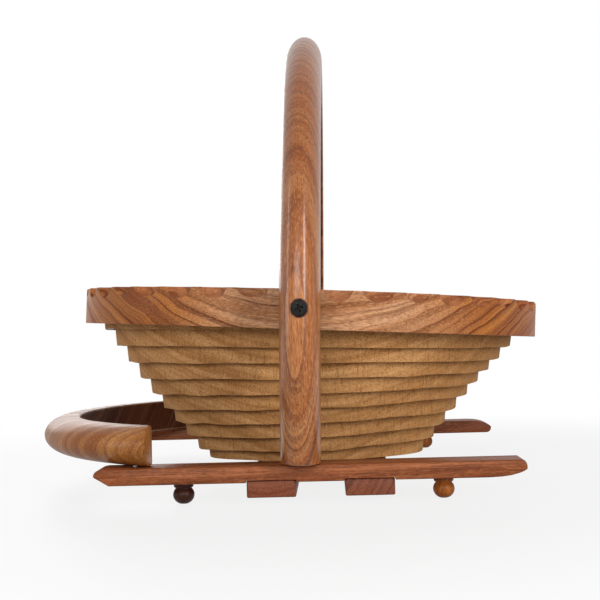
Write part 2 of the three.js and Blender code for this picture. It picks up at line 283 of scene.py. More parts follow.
def woodFinish(name, look):
    desk = NodeDesk(name)
    spot = desk.place(look.get("attribute"), look["centre"], look["turn"])
    bands, late, streaks = ringPattern(desk, spot, look)
    fibre = desk.grain(spot, (60, 1500, 1500), 4.0, 0.65)
    flecks = desk.grain(spot, (330, 1500, 1500), 2.0, 0.55)
    pores = desk.between(desk.grain(spot, (260, 2600, 2600), 1.0, 0.4), 0.6, 0.7)
    cloud = desk.grain(spot, (7, 22, 22), 2.0, 0.5)
    stops = [(0.0, look["dark"]), (0.42, look["mid"]), (1.0, look["pale"])]
    ground = desk.ramp(desk.between(bands, 0.3, 0.7), stops)
    lines = desk.sums("MULTIPLY", late, desk.between(streaks, 0.36, 0.62))
    ground = desk.mix(desk.sums("MULTIPLY", lines, look["lineDepth"]), ground, look["line"])
    dashes = desk.sums("MULTIPLY", desk.between(streaks, 0.54, 0.7), look["streakDepth"])
    ground = desk.mix(dashes, ground, look["line"])
    ground = desk.mix(desk.between(cloud, 0.38, 0.68, 0.0, look["cloud"]), ground, look["glow"])
    ground = desk.mix(desk.between(flecks, 0.54, 0.68, 0.0, look["fleck"]), ground, look["pale"])
    ground = desk.mix(desk.between(flecks, 0.46, 0.33, 0.0, look["fleck"]), ground, look["dark"])
    # tinted darker along the turned X axis away from its start: painted shade, on the board together with a
    # more amber wood tone
    if "shadeAndTone" in look:
        shadeAndTone = look["shadeAndTone"]
        split = desk.add("ShaderNodeSeparateXYZ")
        desk.plug(spot, split.inputs[0])
        reach = desk.sums("ADD", split.outputs[0], shadeAndTone["shift"] * mm)
        reach = desk.sums("ABSOLUTE", reach) if shadeAndTone["bothWays"] else reach
        reach = desk.sums("ADD", reach, desk.sums("MULTIPLY", desk.sums("SUBTRACT", bands, 0.5), 0.09))
        ground = desk.mix(desk.between(reach, shadeAndTone["start"] * mm, shadeAndTone["full"] * mm), ground,
                          desk.mix(1.0, ground, shadeAndTone["tint"], "MULTIPLY"))
    ground = desk.mix(desk.sums("MULTIPLY", pores, look["poreDepth"]), ground, look["line"])
    shade = desk.between(fibre, 0.3, 0.7, 1.0 - look["fibre"], 1.0 + look["fibre"])
    desk.plug(desk.mix(1.0, ground, shade, "MULTIPLY"), desk.shader.inputs["Base Color"])
    rough = desk.between(bands, 0.3, 0.7, look["rough"] + 0.04, look["rough"] - 0.04)
    rough = desk.sums("ADD", desk.between(fibre, 0.25, 0.75, -0.06, 0.08), rough)
    desk.plug(desk.sums("ADD", rough, desk.sums("MULTIPLY", pores, 0.15)), desk.shader.inputs["Roughness"])
    desk.shader.inputs["Specular IOR Level"].default_value = look["sheen"]
    desk.shader.inputs["Coat Weight"].default_value = look["coat"]
    desk.shader.inputs["Coat Roughness"].default_value = look["coatRough"]
    height = desk.sums("SUBTRACT", desk.sums("ADD", fibre, desk.sums("MULTIPLY", lines, -0.4)), pores)
    desk.bump(height, look["bump"], 0.25)
    return desk.material


boardLook = dict(
    attribute="boardPlace", centre=(0, 12, -150), turn=(0, 0, 0), ring=4.2, run=5.0, wobble=7.0,
    pale=tone(206, 160, 122), mid=tone(175, 123, 84), dark=tone(132, 76, 38), line=tone(92, 42, 12),
    glow=tone(186, 124, 76), cloud=0.35,
    # toward both sides of the rim the board is tinted darker and more amber: painted shade where the rim
    # turns away from the light, together with a more amber wood tone
    shadeAndTone=dict(tint=(0.79, 0.51, 0.19, 1), start=38, full=86, shift=-8, bothWays=True),
    lineDepth=0.9, streakDepth=0.65, poreDepth=0.45,
    fibre=0.24, fleck=0.34, rough=0.44, sheen=0.12, coat=0.05, coatRough=0.25, bump=0.22)
scoopLook = dict(
    boardLook, pale=tone(198, 144, 106), mid=tone(168, 110, 74), dark=tone(128, 72, 42),
    # the scoops take the same painted shade and amber tone, more weakly
    glow=tone(176, 110, 70), shadeAndTone=dict(boardLook["shadeAndTone"], tint=(0.84, 0.68, 0.5, 1)),
    rough=0.6, coat=0.0, bump=0.4)
hoopLook = dict(
    centre=(16.25, 6, 67.0), turn=(0, 0, 0), ring=5.2, run=3.0, wobble=5.5,
    pale=tone(182, 128, 70), mid=tone(156, 98, 44), dark=tone(120, 62, 20), line=tone(88, 38, 10),
    glow=tone(172, 98, 44), cloud=0.35, lineDepth=0.8, streakDepth=0.6, poreDepth=0.45, fibre=0.24, fleck=0.5,
    rough=0.42, sheen=0.1, coat=0.12, coatRough=0.24, bump=0.22)
handleLook = dict(
    hoopLook, centre=(50.75, 3, 84), turn=(0, 90, 0), coat=0.6,
    pale=tone(190, 132, 82), mid=tone(162, 98, 48), dark=tone(122, 62, 22),
    # the upper handle is tinted darker: painted shade, as the upper handle is less lit
    shadeAndTone=dict(tint=(0.72, 0.66, 0.62, 1), start=20, full=80, shift=0, bothWays=False))
# the hoop's flat inside is duller than its rounded outside; its darker tones are painted shade
shadedInsideTones = dict(
    pale=tone(126, 80, 52), mid=tone(106, 61, 36), dark=tone(82, 42, 22), line=tone(60, 26, 12),
    glow=tone(112, 62, 34), rough=0.55, coat=0.0)
handleShadedInsideLook = dict(handleLook, **shadedInsideTones)
hoopShadedInsideLook = dict(hoopLook, **shadedInsideTones)
railLook = dict(
    centre=(0, -95, 48), turn=(0, 2, 1), ring=3.4, run=4.0, wobble=5.0,
    pale=tone(164, 100, 62), mid=tone(136, 76, 42), dark=tone(102, 48, 20), line=tone(74, 30, 12),
    glow=tone(142, 72, 34), cloud=0.4, lineDepth=0.6, streakDepth=0.5, poreDepth=0.45, fibre=0.22, fleck=0.45,
    rough=0.45, sheen=0.16, coat=0.03, coatRough=0.25, bump=0.35)
slatLook = dict(
    railLook, centre=(-8, 0, 40), turn=(0, 0, 90),
    pale=tone(130, 78, 56), mid=tone(108, 58, 42), dark=tone(86, 43, 30), line=tone(66, 30, 18))
footLook = dict(
    centre=(0, 0, 0), turn=(0, 90, 20), ring=1.6, run=20.0, wobble=1.2,
    pale=tone(70, 32, 18), mid=tone(50, 22, 12), dark=tone(34, 14, 7), line=tone(22, 9, 4),
    glow=tone(62, 28, 15), cloud=0.3, lineDepth=0.5, streakDepth=0.4, poreDepth=0.3, fibre=0.16, fleck=0.3,
    rough=0.4, sheen=0.12, coat=0.05, coatRough=0.18, bump=0.25)
amberFootLook = dict(
    footLook, pale=tone(168, 98, 40), mid=tone(130, 70, 24), dark=tone(92, 42, 12), line=tone(62, 26, 8),
    glow=tone(152, 84, 28))

sawnLook = dict(pale=tone(206, 157, 104), mid=tone(183, 133, 81), dark=tone(152, 103, 56),
                scorch=tone(112, 65, 30))


# bare saw cut: matte, with marks of the blade running down the wall
def sawnFinish(name, look):
    desk = NodeDesk(name)
    spot = desk.place("boardPlace", boardLook["centre"], boardLook["turn"])
    cut = desk.place("sawPlace", (0, 0, 0), (0, 0, 0))
    bands, late = ringPattern(desk, spot, boardLook)[:2]
    marks = desk.grain(cut, (900, 130, 130), 3.0, 0.7)
    chatter = desk.grain(cut, (240, 60, 60), 2.0, 0.5)
    fuzz = desk.grain(spot, (1250, 1250, 1250), 3.0, 0.7)
    wander = desk.grain(cut, (24, 60, 60), 3.0, 0.6)
    stops = [(0.0, look["dark"]), (0.5, look["mid"]), (1.0, look["pale"])]
    ground = desk.ramp(desk.between(bands, 0.22, 0.78), stops)
    ground = desk.mix(desk.sums("MULTIPLY", late, 0.26), ground, look["dark"])
    ground = desk.mix(desk.between(marks, 0.52, 0.75, 0.0, 0.4), ground, look["pale"])
    ground = desk.mix(desk.between(marks, 0.46, 0.3, 0.0, 0.45), ground, look["scorch"])
    ground = desk.mix(desk.between(chatter, 0.6, 0.78, 0.0, 0.25), ground, look["dark"])
    ground = desk.mix(desk.between(wander, 0.58, 0.78, 0.0, 0.3), ground, look["scorch"])
    ground = desk.mix(desk.between(fuzz, 0.46, 0.32, 0.0, 0.55), ground, look["scorch"])
    shade = desk.between(fuzz, 0.3, 0.7, 0.82, 1.2)
    desk.plug(desk.mix(1.0, ground, shade, "MULTIPLY"), desk.shader.inputs["Base Color"])
    desk.plug(desk.between(fuzz, 0.3, 0.7, 0.72, 0.9), desk.shader.inputs["Roughness"])
    desk.shader.inputs["Specular IOR Level"].default_value = 0.2
    height = desk.sums("ADD", marks, desk.sums("MULTIPLY", fuzz, 0.8))
    height = desk.sums("ADD", height, desk.sums("MULTIPLY", chatter, 0.5))
    desk.bump(height, 0.5, 0.3)
    return desk.material


blackLook = dict(pale=tone(34, 31, 29), dark=tone(14, 13, 12), rust=tone(44, 30, 22),
                 metal=0.15, rough=0.48, sheen=0.12)
steelLook = dict(pale=tone(132, 126, 116), dark=tone(92, 88, 82), rust=tone(96, 72, 52),
                 metal=0.95, rough=0.42, sheen=0.5)


def screwFinish(name, look):
    desk = NodeDesk(name)
    spot = desk.place(None, (0, 0, 0), (0, 0, 0))
    worn = desk.grain(spot, (900, 900, 900), 3.0, 0.6)
    fine = desk.grain(spot, (5200, 5200, 5200), 2.0, 0.5)
    ground = desk.mix(desk.between(worn, 0.35, 0.65), look["dark"], look["pale"])
    ground = desk.mix(desk.between(worn, 0.66, 0.74, 0.0, 0.5), ground, look["rust"])
    desk.plug(ground, desk.shader.inputs["Base Color"])
    desk.shader.inputs["Metallic"].default_value = look["metal"]
    rough = desk.between(fine, 0.3, 0.7, look["rough"] - 0.08, look["rough"] + 0.1)
    desk.plug(rough, desk.shader.inputs["Roughness"])
    desk.shader.inputs["Specular IOR Level"].default_value = look["sheen"]
    desk.bump(fine, 0.2, 0.06)
    return desk.material


boardWood = woodFinish("boardWood", boardLook)
scoopWood = woodFinish("scoopWood", scoopLook)
sawnWood = sawnFinish("sawnWood", sawnLook)
handleWood = woodFinish("handleWood", handleLook)
hoopWood = woodFinish("hoopWood", hoopLook)
# the two inside finishes carry painted shade on the flat insides
handleShadedInside = woodFinish("handleShadedInside", handleShadedInsideLook)
hoopShadedInside = woodFinish("hoopShadedInside", hoopShadedInsideLook)
railWood = woodFinish("railWood", railLook)
slatWood = woodFinish("slatWood", slatLook)
darkFootWood = woodFinish("darkFootWood", footLook)
amberFootWood = woodFinish("amberFootWood", amberFootLook)
blackSteel = screwFinish("blackSteel", blackLook)
plainSteel = screwFinish("plainSteel", steelLook)
print("finishes made")


# the board, sawn in a spiral and dropped into a bowl
sawnBoard = dict(
    thickness=18.5, rimRadius=124.5, rimWidth=5.2, pitch=6.1, turns=9, start=-43, bevel=7, wallGap=0.4,
    turnDrop=7.6, rimTilt=3.3, tiltTurns=5, lobes=5, lobeReach=9.0, lobeTurns=7,
    scoops=40, scoopWidth=14, scoopDepth=4.5, scoopInset=3.0, scoopHollow=0.9, edge=0.5, easing=0.35,
    widthVary=1.1, depthVary=0.12, stepsPerTurn=180, scoopSteps=20, carveSteps=6,
    root=0.012, rootShrink=0.25, sway=0.09, swayWaves=4, swayDrift=1.7,
    pivotBore=2.5, pivotBite=6.8, smooth=38)
discBottom = layout["discBottom"]
rimTop = discBottom + sawnBoard["turnDrop"] * sawnBoard["turns"] + sawnBoard["thickness"]
pivotHeight = rimTop - sawnBoard["thickness"] / 2
tiltSlope = math.tan(math.radians(sawnBoard["rimTilt"]))
bevelSlope = math.tan(math.radians(sawnBoard["bevel"]))
tiltDrop = sawnBoard["rimRadius"] * tiltSlope / sawnBoard["tiltTurns"]
sawKerf = (sawnBoard["turnDrop"] + tiltDrop) * bevelSlope + sawnBoard["wallGap"]
sawLean = sawnBoard["thickness"] * bevelSlope


def turnAngle(turn):
    return math.radians(sawnBoard["start"]) - 2 * math.pi * turn


def cutRadius(turn):
    growth = min(max((turn - sawnBoard["turns"] + sawnBoard["lobeTurns"]) / sawnBoard["lobeTurns"], 0), 1)
    wave = (math.cos(sawnBoard["lobes"] * (turnAngle(turn) + math.pi / 2)) - 1) / 2
    lobe = sawnBoard["lobeReach"] * growth ** 2 * wave
    return sawnBoard["rimRadius"] - sawnBoard["rimWidth"] - sawnBoard["pitch"] * turn + lobe


# a place on the flat board, and where it lies once the board has dropped
def boardPoint(radius, depth, turn, settled):
    angle = turnAngle(turn)
    x, y = radius * math.cos(angle), radius * math.sin(angle)
    tilted = min(max(1 - settled / sawnBoard["tiltTurns"], 0), 1)
    slope = math.tan(math.radians(sawnBoard["rimTilt"]) * tilted)
    z = rimTop - depth - sawnBoard["turnDrop"] * min(max(settled, 0), sawnBoard["turns"]) - x * slope
    across = x + layout["basketX"] + (sawnBoard["thickness"] / 2 - depth) * slope
    return (Vector((across, y, z)) * mm, Vector((x, y, -depth)) * mm)


# rounds the corners of a cross-section given as (radius, depth)
def easeCorners(corners, easing):
    eased = []
    for i, corner in enumerate(corners):
        here = Vector(corner)
        back = (Vector(corners[i - 1]) - here).normalized() * easing
        ahead = (Vector(corners[(i + 1) % len(corners)]) - here).normalized() * easing
        eased += [here + back, here + (back + ahead) * 0.29, here + ahead]
    return eased


def meshPiece(name, points, faces, finishes):
    shape = bpy.data.meshes.new(name)
    shape.from_pydata([tuple(p) for p in points], [], [f for f, finish in faces])
    shape.polygons.foreach_set("material_index", [finish for f, finish in faces])
    for finish in finishes:
        shape.materials.append(finish)
    piece = bpy.data.objects.new(name, shape)
    bpy.context.scene.collection.objects.link(piece)
    return piece


def setPlaces(piece, name, places):
    layer = piece.data.attributes.new(name, "FLOAT_VECTOR", "POINT")
    layer.data.foreach_set("vector", [value for place in places for value in place])


# gives each point its place on the flat board and along the saw cut
def setBoardPlaces(piece, depthAt):
    flat, cut = [], []
    for vert in piece.data.vertices:
        x, y, z = vert.co / mm
        x -= layout["basketX"]
        depth = depthAt(x, z)
        flat.append(Vector((x, y, -depth)) * mm)
        cut.append(Vector((math.atan2(y, x) * math.hypot(x, y), 0, depth)) * mm)
    setPlaces(piece, "boardPlace", flat)
    setPlaces(piece, "sawPlace", cut)


# how deep the scoops go at a turn, as a share, each a little unlike the next
def scoopAt(turn):
    count = turn * sawnBoard["scoops"]
    index = math.floor(count) % sawnBoard["scoops"]
    width = sawnBoard["scoopWidth"] + sawnBoard["widthVary"] * math.sin(index * 2.4)
    spacing = 2 * math.pi * sawnBoard["rimRadius"] / sawnBoard["scoops"]
    across = 2 * abs(count % 1 - 0.5) * spacing / width
    depth = 1 + sawnBoard["depthVary"] * math.sin(index * 1.7 + 1)
    return depth * math.sqrt(1 - across ** 2) if across < 1 else 0.0


# points along the saw cut, then with the lower edge, and how many faces the saw left
rimPoints = dict(cut=6, body=9, sawn=4)


# the rest of the points go up the scoop
def rimSection(turn):
    t, edge = sawnBoard["thickness"], sawnBoard["edge"]
    outer, scoop = sawnBoard["rimRadius"], scoopAt(turn)
    inner = cutRadius(turn) + sawKerf / 2
    low = Vector((outer, edge + sawnBoard["scoopDepth"] * scoop))
    high = Vector((outer - edge - sawnBoard["scoopInset"] * scoop, 0))
    corners = [(inner, 0), (inner - sawLean, t), (outer, t), tuple(low), tuple(high)]
    body = easeCorners(corners, sawnBoard["easing"])[:rimPoints["body"]]
    across = (high - low).normalized()
    hollow = Vector((across.y, -across.x)) * sawnBoard["scoopHollow"] * scoop
    carved = []
    for k in range(sawnBoard["carveSteps"] + 1):
        share = k / sawnBoard["carveSteps"]
        carved.append(low.lerp(high, share) + hollow * 4 * share * (1 - share))
    return body + carved


# which finish a face of the board has
boardFace, sawnFace, scoopFace = range(3)


def makeRim():
    steps = sawnBoard["scoops"] * sawnBoard["scoopSteps"]
    points, faces = [], []
    count = len(rimSection(0))
    for step in range(steps + 1):
        turn = step / steps
        points += [boardPoint(r, d, turn, 0)[0] for r, d in rimSection(turn if step < steps else 1 - 1e-9)]
    inside = rimPoints["cut"]
    shared = range(inside, count)  # outside of the ring, where its end meets its start
    for step in range(steps):
        for j in range(count):
            k = (j + 1) % count
            a, b = step * count, (step + 1) * count
            ends = [0 if step + 1 == steps and n in shared else b for n in (k, j)]
            scooped = max(scoopAt(step / steps), scoopAt((step + 0.99) / steps)) > 0
            carved = rimPoints["body"] <= j < count - 1 and scooped
            finish = sawnFace if j < rimPoints["sawn"] else scoopFace if carved else boardFace
            faces.append(((a + j, a + k, ends[0] + k, ends[1] + j), finish))
    last = steps * count
    faces.append(((count - 1, *range(last, last + inside), inside, *reversed(range(inside))), sawnFace))
    rim = meshPiece("rim", points, faces, [boardWood, sawnWood, scoopWood])
    startEdit(rim)
    bpy.ops.mesh.select_all(action="SELECT")
    bpy.ops.mesh.delete_loose()
    faceOut()
    end = sawnBoard["rimRadius"] - sawnBoard["pivotBite"]
    outside = sawnBoard["rimRadius"] + 2
    cutAway(rim, [rodCutter(sawnBoard["pivotBore"], (layout["axisX"], side * end, pivotHeight),
                            (layout["axisX"], side * outside, pivotHeight)) for side in (-1, 1)])
    setBoardPlaces(rim, lambda x, z: rimTop - z - x * tiltSlope)
    return rim


def stripSection(turn, shrink):
    t = sawnBoard["thickness"]
    outer = cutRadius(turn) - sawKerf / 2
    inner = cutRadius(turn + 1) + sawKerf / 2
    corners = [(inner + shrink, shrink), (inner - sawLean + shrink, t - shrink),
               (outer - sawLean - shrink, t - shrink), (outer - shrink, shrink)]
    return easeCorners(corners, sawnBoard["easing"])


# the long strip between two passes of the saw, from the rim down to the disc
def makeStrip():
    root, perTurn = sawnBoard["root"], sawnBoard["stepsPerTurn"]
    turns = [-root, -root / 3] + [i / perTurn for i in range(sawnBoard["turns"] * perTurn + 1)]
    turns += [sawnBoard["turns"] + root / 3, sawnBoard["turns"] + root]
    waves, drift = sawnBoard["swayWaves"], sawnBoard["swayDrift"]
    points, flat, cut, faces = [], [], [], []
    run = 0.0
    for i, turn in enumerate(turns):
        hidden = turn < 0 or turn > sawnBoard["turns"]
        section = stripSection(turn, sawnBoard["rootShrink"] if hidden else 0.0)
        fade = min(max(min(turn, sawnBoard["turns"] - turn) * 4, 0), 1)
        angle = turnAngle(turn)
        waver = noise.noise((math.cos(angle) * waves, math.sin(angle) * waves, turn * drift))
        settled = turn + sawnBoard["sway"] * fade * waver
        if i:
            run += abs(turn - turns[i - 1]) * 2 * math.pi * cutRadius(turn)
        for radius, depth in section:
            place, flatPlace = boardPoint(radius, depth, turn, settled)
            points.append(place)
            flat.append(flatPlace)
            cut.append(Vector((run, radius - cutRadius(turn), depth)) * mm)
    count = len(section)
    for step in range(len(turns) - 1):
        for j in range(count):
            k = (j + 1) % count
            a, b = step * count, (step + 1) * count
            level = j % (count // 2) == count // 2 - 1  # top and bottom of the strip
            faces.append(((a + j, a + k, b + k, b + j), boardFace if level else sawnFace))
    faces.append((tuple(range(count)), sawnFace))
    faces.append((tuple((len(turns) - 1) * count + j for j in reversed(range(count))), sawnFace))
    strip = meshPiece("strip", points, faces, [boardWood, sawnWood])
    setPlaces(strip, "boardPlace", flat)
    setPlaces(strip, "sawPlace", cut)
    startEdit(strip)
    faceOut()
    return strip


# the uncut middle that rests on the slats
def makeDisc():
    t, easing, turns = sawnBoard["thickness"], sawnBoard["easing"], sawnBoard["turns"]
    levels = [(easing, 0), (easing * 0.3, easing * 0.3), (0, easing)]
    levels += [(sawLean * share, t * share) for share in (0.33, 0.66)]
    levels += [(sawLean, t - easing), (sawLean + easing * 0.3, t - easing * 0.3), (sawLean + easing, t)]
    steps = sawnBoard["stepsPerTurn"]
    points, faces = [], []
    count = steps + 1
    for lean, depth in levels:
        for step in range(count):
            turn = turns + step / steps
            points.append(boardPoint(cutRadius(turn) - sawKerf / 2 - lean, depth, turn, turns)[0])
    for level in range(len(levels) - 1):
        for j in range(count):
            k = (j + 1) % count
            a, b = level * count, (level + 1) * count
            faces.append(((a + j, a + k, b + k, b + j), sawnFace))
    faces.append((tuple(reversed(range(count))), boardFace))
    faces.append((tuple((len(levels) - 1) * count + j for j in range(count)), boardFace))
    disc = meshPiece("disc", points, faces, [boardWood, sawnWood])
    startEdit(disc)
    faceOut()
    cutAway(disc, [shankBore(layout["standX"] + x, y, discBottom, bores["deep"])
                   for x in slatPlaces for y in discScrewPlaces])
    setBoardPlaces(disc, lambda x, z: discBottom + t - z)
    return disc


rim, strip, disc = makeRim(), makeStrip(), makeDisc()
deselectAll()
for part in (rim, strip, disc):
    part.select_set(True)
bpy.context.view_layer.objects.active = rim
bpy.ops.object.join()
finishPiece(rim, "sawnBoard", "stand", ["spiral_basket"], sawnBoard["smooth"])
print("sawn board:", len(rim.data.polygons), "faces")


# the hoop that is sawn into the handle and the stand's hoop
hoop = dict(inner=133.5, depth=19.0, width=18.5, nose=13.0, edge=1.5, steps=160, endEdge=0.7,
            legLength=70.24, lean=1.5, standCut=79.24, screwInset=7.0,
            spotFace=1.6, bore=2.5, spot=4.3, spotSides=48, clear=2.0)
hoopOuter = hoop["inner"] + hoop["depth"]


# full ring about X at the origin, turned from one section
def makeRing():
    half = hoop["width"] / 2
    shoulder = hoop["inner"] + hoop["depth"] - hoop["nose"]
    high = shoulder + half
    deselectAll()
    middle = (hoop["inner"] + high) / 2 * mm
    bpy.ops.mesh.primitive_plane_add(size=1, location=(0, 0, middle), rotation=(math.pi / 2, 0, 0))
    ring = bpy.context.object
    ring.scale = (hoop["width"] * mm, (high - hoop["inner"]) * mm, 1)
    applyPlace(ring)
    startEdit(ring)
    pick(ring, "VERT", lambda v: v.co.z > middle)
    bpy.ops.mesh.bevel(offset=(half - 0.02) * mm, segments=12, affect="VERTICES", clamp_overlap=False)
    pick(ring, "VERT", lambda v: v.co.z < (hoop["inner"] + 0.01) * mm)
    bpy.ops.mesh.bevel(offset=hoop["edge"] * mm, segments=4, affect="VERTICES")
    pick(ring, "VERT", lambda v: v.co.z > (shoulder + 0.001) * mm)
    bpy.ops.transform.resize(value=(1, 1, hoop["nose"] / half), center_override=(0, 0, shoulder * mm))
    bpy.ops.mesh.select_all(action="SELECT")
    bpy.ops.mesh.remove_doubles(threshold=0.06 * mm)
    bpy.ops.mesh.select_mode(type="FACE")
    bpy.ops.mesh.select_all(action="SELECT")
    bpy.ops.mesh.delete(type="ONLY_FACE")
    bpy.ops.mesh.select_mode(type="VERT")
    bpy.ops.mesh.select_all(action="SELECT")
    bpy.ops.mesh.spin(steps=hoop["steps"], angle=2 * math.pi, center=(0, 0, 0), axis=(1, 0, 0),
                      use_auto_merge=True)
    bpy.ops.mesh.select_all(action="SELECT")
    bpy.ops.mesh.remove_doubles(threshold=0.01 * mm)
    faceOut()
    return ring


# keeps the part of the ring above a level cut and eases the sawn ends
def sawRing(ring, name, level):
    stretch = copyOf(ring, name)
    startEdit(stretch)
    bpy.ops.mesh.select_all(action="SELECT")
    bpy.ops.mesh.bisect(plane_co=(0, 0, level * mm), plane_no=(0, 0, 1), use_fill=True, clear_inner=True)
    pick(stretch, "FACE", lambda f: f.normal.z < -0.999
         and abs(f.calc_center_median().z - level * mm) < 0.01 * mm)
    bpy.ops.mesh.region_to_loop()
    bpy.ops.mesh.bevel(offset=hoop["endEdge"] * mm, segments=3, affect="EDGES")
    endEdit()
    return stretch


# one finish for the outside, another, darker with painted shade, for the flat inside
def finishRing(piece, outside, inside):
    piece.data.materials.append(outside)
    piece.data.materials.append(inside)
    startEdit(piece, "FACE")
    pick(piece, "FACE", lambda f: f.normal.yz.dot(f.calc_center_median().yz.normalized()) < -0.9)
    piece.active_material_index = 1
    bpy.ops.object.material_slot_assign()
    endEdit()


ring = makeRing()
handle = sawRing(ring, "handleHoop", -hoop["legLength"])
finishRing(handle, handleWood, handleShadedInside)
handle.data.transform(Matrix.Translation((layout["axisX"] * mm, 0, pivotHeight * mm))
                      @ Matrix.Rotation(math.radians(hoop["lean"]), 4, "Y"))
spotFace = hoopOuter - hoop["spotFace"]
cutters = []
for side in (-1, 1):
    for radius, start, end, sides in (
            (hoop["bore"], hoop["inner"] - hoop["clear"], spotFace + bores["over"], 32),
            (hoop["spot"], spotFace, hoopOuter + hoop["clear"], hoop["spotSides"])):
        cutters.append(rodCutter(radius, (layout["axisX"], side * start, pivotHeight),
                                 (layout["axisX"], side * end, pivotHeight), sides))
cutAway(handle, cutters)
finishPiece(handle, "handleHoop", "handle", ["handle"])
print("handle:", len(handle.data.polygons), "faces")

standHoop = sawRing(ring, "standHoop", hoop["standCut"])
finishRing(standHoop, hoopWood, hoopShadedInside)
hoopLow = layout["railTop"] + layout["seatGap"]
hoopMiddle = hoopLow + hoop["width"] / 2
standHoop.data.transform(Matrix.Translation((layout["standX"] * mm, 0, hoopMiddle * mm))
                         @ Matrix.Rotation(-math.pi / 2, 4, "Y"))
hoopScrewX = layout["standX"] - hoop["standCut"] - hoop["screwInset"]
cutAway(standHoop, [shankBore(hoopScrewX, y, hoopLow, bores["deep"]) for y in railPlaces])
finishPiece(standHoop, "leaningHoop", "stand", ["stand_hoop"])
drop(ring)
print("stand hoop:", len(standHoop.data.polygons), "faces")


# rails along X, slats along Y
rails = dict(width=20.0, thickness=7.7, start=-104.54, shortNose=7.0, shortRise=4.2, shortRound=5.0, edge=0.7,
             housing=1.2, housingWidth=23.4, footShares=(0.2035, 0.1884), sweepStrokes=9, roundStrokes=6,
             front=dict(length=199.0, lead=0.0, sweep=18.0, rise=3.6, round=2.6),
             rear=dict(length=226.0, lead=12.0, sweep=14.0, rise=4.0, round=3.7))
slats = dict(width=22.8, thickness=8.0, length=242.06, edge=0.8)


# planes an end down along a curve, one flat stroke after another
def planeDown(piece, first, bend, last, strokes):
    first, bend, last = Vector(first), Vector(bend), Vector(last)
    for stroke in range(strokes):
        share = (stroke + 0.5) / strokes
        touch = first * (1 - share) ** 2 + bend * 2 * share * (1 - share) + last * share ** 2
        run = (bend - first) * (1 - share) + (last - bend) * share
        outward = Vector((run.y, -run.x)).normalized()
        if outward.dot(touch - Vector((0, rails["thickness"] / 2))) < 0:
            outward = -outward
        bpy.ops.mesh.select_all(action="SELECT")
        bpy.ops.mesh.bisect(plane_co=(touch.x * mm, 0, touch.y * mm), plane_no=(outward.x, 0, outward.y),
                            use_fill=True, clear_outer=True)


# one end is cut back short, the other is swept up long
def makeRail(sizes, turnedOver):
    half, t = sizes["length"] / 2, rails["thickness"]
    deselectAll()
    bpy.ops.mesh.primitive_cube_add(size=1, location=(0, 0, t / 2 * mm))
    rail = bpy.context.object
    rail.scale = (sizes["length"] * mm, rails["width"] * mm, t * mm)
    applyPlace(rail)
    startEdit(rail)
    sweep, rise, strokes = sizes["sweep"], sizes["rise"], rails["roundStrokes"]
    planeDown(rail, (half - sweep, 0), (half - sweep / 4, 0), (half, rise), rails["sweepStrokes"])
    planeDown(rail, (half, rise), (half, t), (half - sizes["round"], t), strokes)
    planeDown(rail, (-half + rails["shortRound"], t), (-half, t), (-half, rails["shortRise"]), strokes)
    middle = (rails["shortNose"] / 2 - half, rails["shortRise"] / 2)
    planeDown(rail, (-half, rails["shortRise"]), middle, (rails["shortNose"] - half, 0), 1)
    edgeLine = rails["width"] / 2 * mm
    pick(rail, "EDGE", lambda e: all(abs(abs(v.co.y) - edgeLine) < 0.01 * mm for v in e.verts)
         and e.verts[0].co.y * e.verts[1].co.y > 0)
    bpy.ops.mesh.bevel(offset=rails["edge"] * mm, segments=3, affect="EDGES")
    faceOut()
    if turnedOver:
        rail.data.transform(Matrix.Translation((0, 0, t * mm)) @ Matrix.Rotation(math.pi, 4, "X"))
    return rail


def boxCutter(low, high):
    low, high = Vector(low) * mm, Vector(high) * mm
    deselectAll()
    bpy.ops.mesh.primitive_cube_add(size=1, location=(low + high) / 2)
    cutter = bpy.context.object
    cutter.scale = high - low
    applyPlace(cutter)
    return cutter


def placeRail(end, y, turnedOver):
    sizes = rails[end]
    rail = makeRail(sizes, turnedOver)
    middle = layout["standX"] + rails["start"] - sizes["lead"] + sizes["length"] / 2
    low = layout["footHeight"]
    rail.data.transform(Matrix.Translation((middle * mm, y * mm, low * mm)))
    cutters = []
    for side, share in zip((-1, 1), rails["footShares"]):
        footX = middle + side * (0.5 - share) * sizes["length"]
        cutters.append(boreUp(bores["tenon"], footX, y, low, bores["tenonDeep"]))
    halfWide, over = rails["housingWidth"] / 2, bores["over"]
    reach = rails["width"] / 2 + over
    for x in slatPlaces:
        slatX = layout["standX"] + x
        cutters.append(boxCutter((slatX - halfWide, y - reach, low - over),
                                 (slatX + halfWide, y + reach, low + rails["housing"])))
        cutters.append(shankBore(slatX, y, low, rails["housing"] + bores["slatBite"]))
    cutters.append(shankBore(hoopScrewX, y, low, bores["through"]))
    cutters.append(headBore(hoopScrewX, y, low))
    cutAway(rail, cutters)
    rail.data.materials.append(railWood)
    finishPiece(rail, end + "Rail", "stand", [end + "_rail"])
    return middle


frontMiddle = placeRail("front", railPlaces[0], False)
rearMiddle = placeRail("rear", railPlaces[1], True)
print("rails placed")


def makeSlat():
    deselectAll()
    low = layout["slatBottom"]
    bpy.ops.mesh.primitive_cube_add(size=1, location=(0, 0, (low + slats["thickness"] / 2) * mm))
    slat = bpy.context.object
    slat.scale = (slats["width"] * mm, slats["length"] * mm, slats["thickness"] * mm)
    applyPlace(slat)
    startEdit(slat, "EDGE")
    bpy.ops.mesh.select_all(action="SELECT")
    bpy.ops.mesh.bevel(offset=slats["edge"] * mm, segments=3, affect="EDGES")
    endEdit()
    cutters = []
    for y in railPlaces + discScrewPlaces:
        cutters.append(shankBore(0, y, low, bores["through"]))
        cutters.append(headBore(0, y, low))
    cutAway(slat, cutters)
    slat.data.materials.append(slatWood)
    return slat


